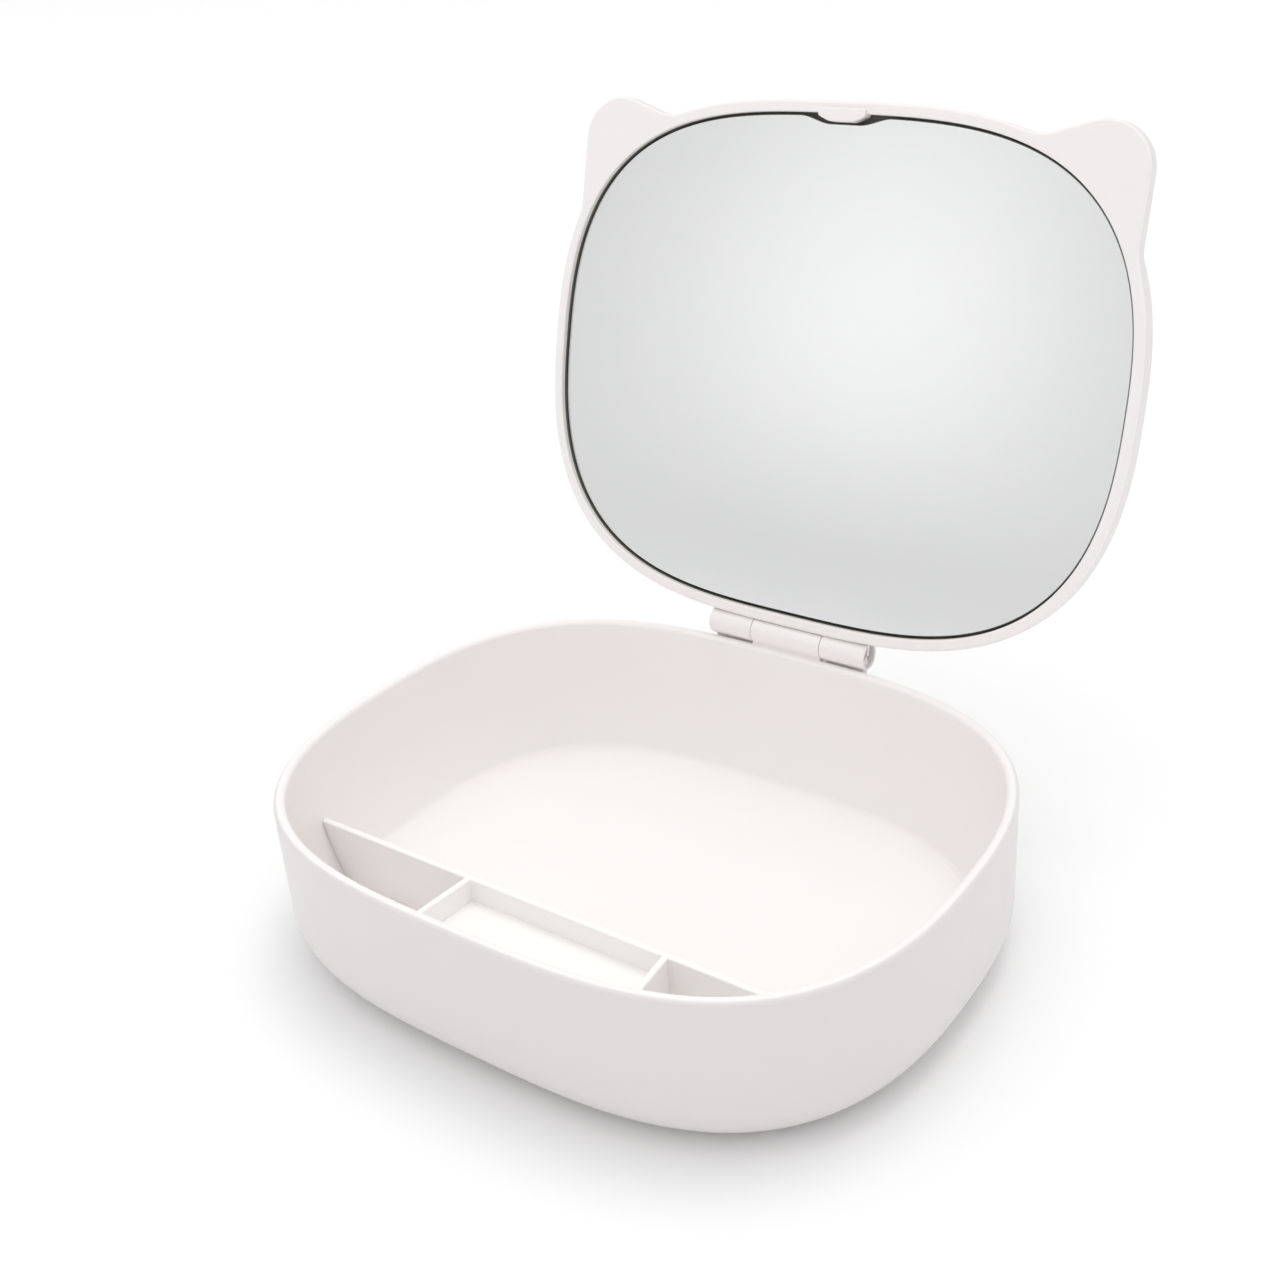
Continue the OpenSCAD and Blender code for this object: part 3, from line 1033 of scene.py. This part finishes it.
@dataclass
class Lid(SubAssembly):
    """The lid: a frame with ears and hinge knuckles, a domed cover, the mirror and its tapes.

    Depths are counted from the frame's face, which looks down when the lid is closed.
    """

    body = Body.LID
    finishes: Finishes
    box: Box
    face_z: float = 42.5
    inset: float = 1.5
    face_width: float = 3.1
    face_edge: float = 0.9
    mouth_edge: float = 0.45
    # Depth from which the recess gets painted shade.
    gap_shade_from: float = 1.5
    seam_edge: float = 0.25
    frame_depth: float = 3.9
    plate: float = 1.2
    cover_gap: float = 0.15
    cover_wall: float = 1.8
    cover_space: float = 1.1
    cover_radius: float = 3.4
    dome: float = 1.27
    mirror_gap: float = 0.6
    mirror_sink: float = 2.0
    mirror_thickness: float = 1.5
    arris: float = 0.2
    ear_radius: float = 12.0
    ear_side_in: float = 6.0
    ear_top_in: float = 1.3
    ear_slope_deg: float = 18.5
    ear_foot_ease: float = 2.2
    ear_head_ease: float = 5.0
    ease_rounds: int = 24
    lug_root: float = 14.0
    lug_end: float = 7.0
    lug_reach: float = 2.2
    lug_knee: float = 0.35
    lug_radius: float = 0.9
    lug_edge: float = 0.4
    lug_sunk: float = 0.3
    lug_stand: float = 1.0
    lug_gap: float = 0.3
    notch_width: float = 28.0
    notch_clear: float = 0.7
    stop_gap: float = 0.3
    stop_reach: float = 3.0
    stop_thickness: float = 1.6
    stop_radius: float = 0.35
    stop_in: float = 1.0
    web_in: float = 0.5
    web_edge: float = 0.1
    flat_ring: float = 6.0
    outline_step: float = 0.55
    mirror_step: float = 0.6
    lug_step: float = 0.3

    def open_loop(self, loop: Sequence[Vector], depth: float) -> Loop:
        """A flat loop at a depth in the closed lid, turned open."""
        return [HINGE.opened(Vector((p.x, p.y, self.face_z + depth))) for p in loop]

    def frame_outline(self) -> Loop:
        """Outer outline of the frame, ears included, anticlockwise as seen from above when closed."""
        edge = PLAN.loop(self.inset)
        quarter = [p for p in edge if p.x >= -1e-6 and p.y >= -1e-6]
        cx = PLAN.half_length - self.inset - self.ear_side_in - self.ear_radius
        cy = PLAN.half_depth - self.inset - self.ear_top_in - self.ear_radius
        tip_end = 90 + self.ear_slope_deg
        tip = [Vector(p) for p in arc((cx, cy), self.ear_radius, 0, tip_end, 40)]
        slope = math.radians(self.ear_slope_deg)
        down = Vector((-math.cos(slope), -math.sin(slope)))
        normal = Vector((-down.y, down.x))
        before = [p for p in quarter if p.x > cx + self.ear_radius]
        inner = [p for p in quarter if p.x < tip[-1].x and (p - tip[-1]).dot(normal) < 0]
        low = Vector((cx + self.ear_radius, before[-1].y + 0.4))
        high = inner[0]
        contour = before + [low] + tip + inner
        front = [Vector((p.x, -p.y)) for p in contour]
        rear = [p for p in edge if p.y > 1e-6]
        right = front[::-1]
        left = [Vector((-p.x, p.y)) for p in front if p.x > 1e-6]
        loop = left + right + rear
        loop = respaced(loop if area(loop) > 0 else loop[::-1], self.outline_step)
        corners = [(Vector((s * low.x, -low.y)), self.ear_foot_ease) for s in (-1, 1)]
        corners += [(Vector((s * high.x, -high.y)), self.ear_head_ease) for s in (-1, 1)]
        return eased(loop, corners, self.ease_rounds)

    def lug_outline(self, outer_y: float) -> Loop:
        """Outline of the locating lug from outer_y inwards, anticlockwise."""
        root, tip = self.lug_root / 2, self.lug_end / 2
        inner_y = -(PLAN.half_depth - self.inset - self.face_width)
        knee = inner_y + self.lug_reach * self.lug_knee
        end = inner_y + self.lug_reach
        return rounded_polygon([(-root, outer_y), (root, outer_y), (root, knee), (tip, end), (-tip, end),
                                (-root, knee)], self.lug_radius)

    def lug(self, draft: Draft) -> None:
        """Adds the lug, which stands out of the face and fills the recess as deep as the mirror lies."""
        low_y = -(PLAN.half_depth - self.box.wall - self.lug_gap)
        loop, edge = respaced(self.lug_outline(low_y), self.lug_step), self.lug_edge
        rows = arc((edge, -self.lug_stand + edge), edge, 270, 180, 5)
        rows += [(0.0, self.mirror_sink + self.lug_sunk)]
        draft.solid([self.open_loop(drawn_in(loop, i), w) for i, w in rows])

    def knuckle(self, draft: Draft, side: int) -> None:
        """Adds one outer knuckle with its wide mouth and pin bore.

        Args:
            draft: Where it is drawn.
            side: -1 for the left knuckle and 1 for the right one.
        """
        start, end = HINGE.outer_start, HINGE.barrel_length / 2
        r, e, mouth = HINGE.barrel_radius, HINGE.edge, HINGE.mouth_radius
        bore = HINGE.pin_radius + HINGE.bore_gap
        lip = (r - mouth) / 2
        profile = [(start, bore), (start, r - e)] + arc((start + e, r - e), e, 180, 90, 5)[1:]
        profile += arc((end - lip, r - lip), lip, 90, 0, 5)
        profile += arc((end - lip, mouth + lip), lip, 0, -90, 5)[1:]
        profile += [(end - HINGE.mouth_depth, mouth), (end - HINGE.mouth_depth, bore)]
        turned(draft, [(side * x, y) for x, y in profile], HINGE.axis)

    def stop(self, draft: Draft, side: int) -> None:
        """Adds the rib that meets the rear wall when the lid is open, on one knuckle.

        Args:
            draft: Where it is drawn.
            side: -1 for the left knuckle and 1 for the right one.
        """
        r = HINGE.barrel_radius
        face = PLAN.half_depth - HINGE.axis_y + self.stop_gap
        low = self.box.height - HINGE.axis_z - self.stop_reach
        rib = rounded_polygon([(face, -0.4 * r), (face, low), (face + self.stop_thickness, low),
                               (0.3 * r, -0.7 * r), (0.0, 0.0)], self.stop_radius)
        bar(draft, rib, *self.knuckle_ends(side, self.stop_in), HINGE.edge, HINGE.axis)

    def knuckle_ends(self, side: int, inside: float) -> list[float]:
        """Two places along X that lie inside the ends of one knuckle, the lower one first."""
        return sorted((side * (HINGE.outer_start + inside), side * (HINGE.barrel_length / 2 - inside)))

    def frame(self) -> bpy.types.Object:
        """The frame: face ring with ears, recess, plate and lug."""
        outline = self.frame_outline()
        draft = Draft()
        face, seam = self.face_edge, self.seam_edge
        side_rows = arc((face, face), face, 270, 180, 8)
        side_rows += arc((seam, self.frame_depth - seam), seam, 180, 90, 4)
        outer = draft.skin([self.open_loop(drawn_in(outline, i), w) for i, w in side_rows])
        rim = self.inset + self.face_width
        mouth = arc((rim - self.mouth_edge, self.mouth_edge), self.mouth_edge, 270, 360, 6)
        inner = draft.skin([self.open_loop(PLAN.loop(i), w) for i, w in mouth + [(rim, self.gap_shade_from)]])
        draft.fill(outer[0], inner[0])
        # Below the mouth, the recess wall and floor get painted shade, dark in the gap round the mirror.
        draft.finish = 1
        deep = draft.skin([self.open_loop(PLAN.loop(i), w) for i, w in
                           ((rim, self.gap_shade_from), (rim, self.frame_depth),
                            (rim + self.flat_ring, self.frame_depth))])
        draft.fill(deep[-1])
        draft.finish = 0
        plate_inset = self.inset + self.cover_wall + self.cover_gap
        plate = draft.skin([self.open_loop(PLAN.loop(plate_inset), w)
                            for w in (self.frame_depth, self.frame_depth + self.plate)])
        draft.fill(outer[-1], plate[0])
        draft.fill(plate[1])
        self.lug(draft)
        finishes = [self.finishes.lid, self.finishes.recess]
        return HINGE.relieved(draft, "lid_frame_moulding", finishes, HINGE.outer_start)

    def hinge_side(self) -> bpy.types.Object:
        """The frame's two knuckles with their ribs and the webs that join them to the frame."""
        draft = Draft()
        for side in (-1, 1):
            self.knuckle(draft, side)
            self.stop(draft, side)
            self.web(draft, side)
        return draft.make("lid_knuckles", [self.finishes.lid])

    def web(self, draft: Draft, side: int) -> None:
        """Adds the web that joins one knuckle to the frame.

        Args:
            draft: Where it is drawn.
            side: -1 for the left knuckle and 1 for the right one.
        """
        far = PLAN.half_depth - HINGE.axis_y - self.inset - self.face_width / 2
        low, high = -0.15 * HINGE.barrel_radius, self.face_z + self.frame_depth - HINGE.axis_z - 0.3
        turn = math.radians(-HINGE.open_deg)
        flat = [Vector((u * math.cos(turn) - v * math.sin(turn), u * math.sin(turn) + v * math.cos(turn)))
                for u, v in ((far, low), (0.0, low), (0.0, high), (far, high))]
        edge = self.web_edge
        bar(draft, rounded_polygon([tuple(p) for p in flat], edge), *self.knuckle_ends(side, self.web_in),
            edge, HINGE.axis)

    def cover_loop(self, inset: float, depth: float, scale: float = 1.0) -> Loop:
        """One loop of the cover at a depth, drawn in and scaled, turned open."""
        return [HINGE.opened(p) for p in PLAN.level(inset, self.face_z + depth, scale)]

    def cover(self) -> bpy.types.Object:
        """The domed cover over the back of the frame."""
        depth = self.frame_depth + self.plate + self.cover_space + self.cover_wall
        edge_i, edge_w = self.inset + self.cover_radius, depth - self.cover_radius
        seam_i, seam = self.inset + self.seam_edge, self.seam_edge
        side = [(self.inset + self.cover_wall, self.frame_depth), (seam_i, self.frame_depth)]
        side += arc((seam_i, self.frame_depth + seam), seam, 270, 180, 4)[1:]
        side += arc((edge_i, edge_w), self.cover_radius, 180, 90, 20)
        turn = arc((edge_i, edge_w), self.cover_radius - self.cover_wall, 90, 180, 10)
        shares = [1 - (k / 40) ** 1.4 * 0.98 for k in range(1, 41)]
        rises = [(s, depth + self.dome * (1 - s * s)) for s in shares]
        draft = Draft()
        outer = draft.skin([self.cover_loop(i, w) for i, w in side]
                           + [self.cover_loop(edge_i, w, s) for s, w in rises])
        inner = draft.skin([self.cover_loop(edge_i, w - self.cover_wall, s) for s, w in rises[::-4]]
                           + [self.cover_loop(i, w) for i, w in turn])
        draft.bridge(inner[-1], outer[0])
        draft.fill(outer[-1])
        draft.fill(inner[0])
        half = HINGE.barrel_length / 2 + HINGE.knuckle_gap
        return HINGE.relieved(draft, "lid_cover_moulding", [self.finishes.lid], half)

    def mirror_outline(self) -> Loop:
        """Outline of the mirror with the smooth notch that clears the lug."""
        inset = self.inset + self.face_width + self.mirror_gap
        front = -(PLAN.half_depth - inset)
        lug_end = -(PLAN.half_depth - self.inset - self.face_width) + self.lug_reach
        clear = self.mirror_gap * self.notch_clear
        depth = lug_end + clear - front
        half, flat = self.notch_width / 2, self.lug_end / 2 + clear
        made = []
        for p in respaced(PLAN.loop(inset), self.mirror_step):
            if p.y < 0 and abs(p.x) < half:
                u = max(0.0, (abs(p.x) - flat) / (half - flat))
                p = Vector((p.x, max(p.y, front + depth * (1 + math.cos(math.pi * u)) / 2)))
            made.append(p)
        return made

    def mirror(self) -> bpy.types.Object:
        """The mirror glass: silvered face, ground arris and cut edge."""
        loop = self.mirror_outline()
        sink, a = self.mirror_sink, self.arris
        draft = Draft()
        draft.finish = 1
        rings = draft.skin([self.open_loop(drawn_in(loop, i), w) for i, w in
                            ((a, sink), (0.0, sink + a), (0.0, sink + self.mirror_thickness))])
        draft.fill(rings[-1])
        draft.finish = 0
        draft.fill(rings[0])
        return draft.make("mirror_plate", [self.finishes.silver, self.finishes.glass_edge], crease_deg=20)

    def build(self) -> None:
        """Builds the frame, its knuckles, the cover and the mirror."""
        self.settle(self.frame(), "lid_frame", "lid_white")
        self.settle(self.hinge_side(), "lid_frame", "lid_white")
        self.settle(self.cover(), "lid_cover", "lid_white")
        self.settle(self.mirror(), "mirror_glass", "mirror")


@dataclass
class Tapes:
    """The three strips of foam tape behind the mirror, which keep their CAD shape."""

    finishes: Finishes
    nodes: Mapping[str, bpy.types.Object]
    names: tuple[str, ...] = ("mirror_tape_left", "mirror_tape_centre", "mirror_tape_right")

    def dress(self) -> None:
        """Gives each strip its foam finish."""
        for name in self.names:
            piece = self.nodes[name]
            if not piece.material_slots:
                piece.data.materials.append(self.finishes.tape)
            for place in piece.material_slots:
                place.material = self.finishes.tape
            LOG.info("%s keeps its shape and gets %s", name, self.finishes.tape.name)


# ---------------------------------------------------------------- studio


@dataclass(frozen=True)
class Camera:
    """The camera, placed as the photograph's was. Lengths in millimetres."""

    azimuth: float = 35.811
    elevation: float = 26.171
    roll: float = -3.657
    aim: tuple[float, float] = (7.6437, 80.3601)
    distance: float = 402.434
    lens: float = 43.554
    shift: float = 0.03125

    def build(self) -> None:
        """Makes the scene's camera."""
        az, el, roll = (math.radians(v) for v in (self.azimuth, self.elevation, self.roll))
        back = Vector((math.sin(az) * math.cos(el), -math.cos(az) * math.cos(el), math.sin(el)))
        across = Vector((math.cos(az), math.sin(az), 0.0))
        up = back.cross(across)
        x = across * math.cos(roll) + up * math.sin(roll)
        y = up * math.cos(roll) - across * math.sin(roll)
        place = (x * self.aim[0] + y * self.aim[1] + back * self.distance) * MM
        data = bpy.data.cameras.new("camera")
        data.lens, data.sensor_width = self.lens, 36.0
        data.shift_x, data.shift_y = -self.shift, -self.shift
        data.clip_start, data.clip_end = 0.01, 50.0
        camera = bpy.data.objects.new("camera", data)
        camera.matrix_world = Matrix((
            (x.x, y.x, back.x, place.x),
            (x.y, y.y, back.y, place.y),
            (x.z, y.z, back.z, place.z),
            (0, 0, 0, 1)))
        bpy.context.scene.collection.objects.link(camera)
        bpy.context.scene.camera = camera


@dataclass(frozen=True)
class Softbox:
    """A rectangular soft light that no mirror shows. Lengths in metres, power in watts."""

    name: str
    place: tuple[float, float, float]
    aim: tuple[float, float, float]
    size: tuple[float, float]
    power: float

    def build(self) -> None:
        """Makes the light and turns it to its aim."""
        data = bpy.data.lights.new(self.name, "AREA")
        data.shape, data.size, data.size_y = "RECTANGLE", self.size[0], self.size[1]
        data.energy = self.power
        light = bpy.data.objects.new(self.name, data)
        light.location = self.place
        light.visible_glossy = False
        light.visible_camera = False
        light.rotation_euler = (Vector(self.aim) - Vector(self.place)).to_track_quat("-Z", "Y").to_euler()
        bpy.context.scene.collection.objects.link(light)


@dataclass(frozen=True)
class KeyLight:
    """A soft light so far away that it is equally strong everywhere.

    Attributes:
        tilt_deg: How far it leans from overhead towards the front, or below zero towards the rear.
        turn_deg: How far it then turns towards the right.
        spread_deg: Its size as seen from the floor.
        strength: Power on a square metre facing it, in watts.
    """

    tilt_deg: float = -14.0
    turn_deg: float = 0.0
    spread_deg: float = 24.0
    strength: float = 0.42

    def build(self) -> None:
        """Makes the light."""
        data = bpy.data.lights.new("key", "SUN")
        data.energy, data.angle = self.strength, math.radians(self.spread_deg)
        light = bpy.data.objects.new("key", data)
        light.rotation_euler = (math.radians(self.tilt_deg), 0.0, math.radians(self.turn_deg))
        light.visible_glossy = False
        bpy.context.scene.collection.objects.link(light)


@dataclass
class Studio:
    """Pale floor that sweeps up far away, a soft dome of light, soft lights and the camera."""

    finishes: Finishes
    flat_radius: float = 5.0
    sweep_radius: float = 2.4
    wall_top: float = 3.6
    facets: int = 192
    dome_low: float = 0.65
    dome_high: float = 1.2
    key: KeyLight = KeyLight()
    lights: tuple[Softbox, ...] = (
        Softbox("overhead", (-0.1, 0.15, 1.5), (0.0, 0.0, 0.0), (1.2, 1.2), 1.0),
        Softbox("backdrop_glow", (-2.7, -5.3, 2.05), (-3.45, -6.6, 2.2), (1.0, 1.0), 10.5),
    )

    def floor(self) -> None:
        """Makes the sweep: a flat disc whose far edge curves up into a low wall."""
        rows = [(self.flat_radius * (k / 12) ** 1.5, 0.0) for k in range(1, 13)]
        rows += arc((self.flat_radius, self.sweep_radius), self.sweep_radius, 270, 360, 24)[1:]
        rows += [(self.flat_radius + self.sweep_radius, self.wall_top)]
        draft = Draft()
        rings = draft.skin([[Vector((x, y, z)) / MM for x, y in circle(r, self.facets)] for r, z in rows])
        draft.fill(rings[0])
        floor = draft.make("studio_floor", [self.finishes.paper])
        if sum(polygon.normal.z * polygon.area for polygon in floor.data.polygons) < 0:
            floor.data.flip_normals()

    def dome(self) -> bpy.types.World:
        """Light from all round, brighter overhead than near the horizon."""
        world = bpy.data.worlds.new("studio_dome")
        world.use_nodes = True
        tree = world.node_tree
        tree.nodes.clear()
        way = add_node(tree, "ShaderNodeTexCoord")
        height = add_node(tree, "ShaderNodeSeparateXYZ", inputs={"Vector": way.outputs["Generated"]})
        rise = add_node(tree, "ShaderNodeMath", {"operation": "POWER"}, {0: height.outputs["Z"], 1: 2.0})
        strength = add_node(tree, "ShaderNodeMapRange", inputs={
            "Value": rise.outputs["Value"], "To Min": self.dome_low, "To Max": self.dome_high})
        light = add_node(tree, "ShaderNodeBackground", inputs={"Strength": strength.outputs["Result"]})
        add_node(tree, "ShaderNodeOutputWorld", inputs={"Surface": light.outputs["Background"]})
        light.inputs["Color"].default_value = (1.0, 1.0, 1.0, 1.0)
        return world

    def build(self) -> None:
        """Makes the floor, the dome, the lights and the camera."""
        self.floor()
        bpy.context.scene.world = self.dome()
        self.key.build()
        for light in self.lights:
            light.build()
        Camera().build()
        # The plain view keeps the paper and the white plastic as bright as the photograph has them.
        bpy.context.scene.view_settings.view_transform = "Standard"
        LOG.info("studio ready")


def main() -> None:
    """Loads the frame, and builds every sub-assembly and the studio."""
    logging.basicConfig(level=logging.INFO, format="%(name)s: %(message)s")
    for old in list(bpy.data.objects):
        bpy.data.objects.remove(old)
    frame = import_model()
    finishes = Finishes()
    box = Box(finishes)
    box.build()
    Organiser(finishes, box).build()
    Lid(finishes, box).build()
    Tapes(finishes, frame["nodes"]).dress()
    Studio(finishes).build()
    bpy.context.view_layer.update()


if __name__ == "__main__":
    main()
